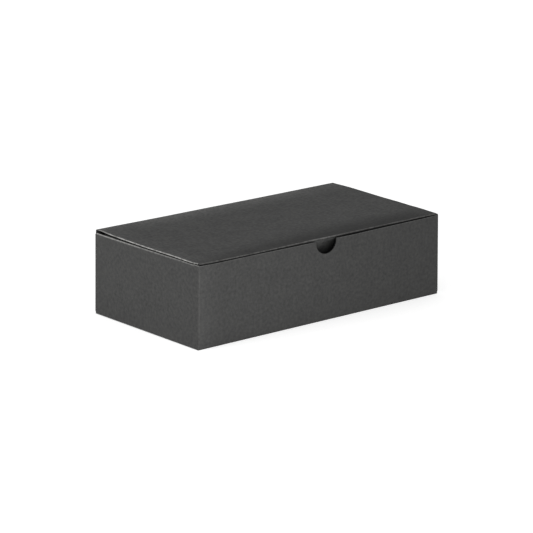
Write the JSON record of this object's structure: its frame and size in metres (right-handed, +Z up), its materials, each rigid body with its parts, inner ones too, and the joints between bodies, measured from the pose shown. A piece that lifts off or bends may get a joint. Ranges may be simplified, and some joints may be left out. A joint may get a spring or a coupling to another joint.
{
  "type": "folding gift box",
  "caption": "Low rectangular paperboard gift box with a hinged tuck-in lid, dust flaps, a thumb notch in its front wall and a snap-lock bottom.",
  "frame": {"origin": "on the table under the middle of the closed box", "axes": "+X along the long side, towards the end wall that hides the glued seam; +Y from the front wall with the thumb notch to the rear wall that carries the lid; +Z up"},
  "size_m": [0.23, 0.12, 0.063],
  "materials": {
    "black_paperboard": "matte"
  },
  "bodies": {
    "carton": {"front_wall": "black_paperboard", "rear_wall": "black_paperboard", "left_end_wall": "black_paperboard", "right_end_wall": "black_paperboard", "glue_flap": "black_paperboard", "bottom_front_flap": "black_paperboard", "bottom_rear_flap": "black_paperboard", "bottom_left_flap": "black_paperboard", "bottom_right_flap": "black_paperboard"},
    "lid": {"lid": "black_paperboard"},
    "tuck_flap": {"tuck_flap": "black_paperboard"},
    "left_dust_flap": {"left_dust_flap": "black_paperboard"},
    "right_dust_flap": {"right_dust_flap": "black_paperboard"}
  },
  "joints": [
    {"name": "lid_hinge", "type": "hinge", "parent": "carton", "child": "lid", "pos_m": [0, 0.0596, 0.0626], "axis": [-1, 0, 0], "range_deg": [0, 180]},
    {"name": "tuck_flap_fold", "type": "hinge", "parent": "lid", "child": "tuck_flap", "pos_m": [0, -0.05855, 0.0626], "axis": [-1, 0, 0], "range_deg": [0, 45]},
    {"name": "left_dust_flap_fold", "type": "hinge", "parent": "carton", "child": "left_dust_flap", "pos_m": [-0.1146, 0, 0.0603], "axis": [0, -1, 0], "range_deg": [0, 90]},
    {"name": "right_dust_flap_fold", "type": "hinge", "parent": "carton", "child": "right_dust_flap", "pos_m": [0.1146, 0, 0.0603], "axis": [0, 1, 0], "range_deg": [0, 90]}
  ],
  "couplings": [
    {"joint": "tuck_flap_fold", "follows": "lid_hinge", "ratio": 0.25},
    {"joint": "left_dust_flap_fold", "follows": "lid_hinge", "ratio": 0.5},
    {"joint": "right_dust_flap_fold", "follows": "lid_hinge", "ratio": 0.5}
  ]
}
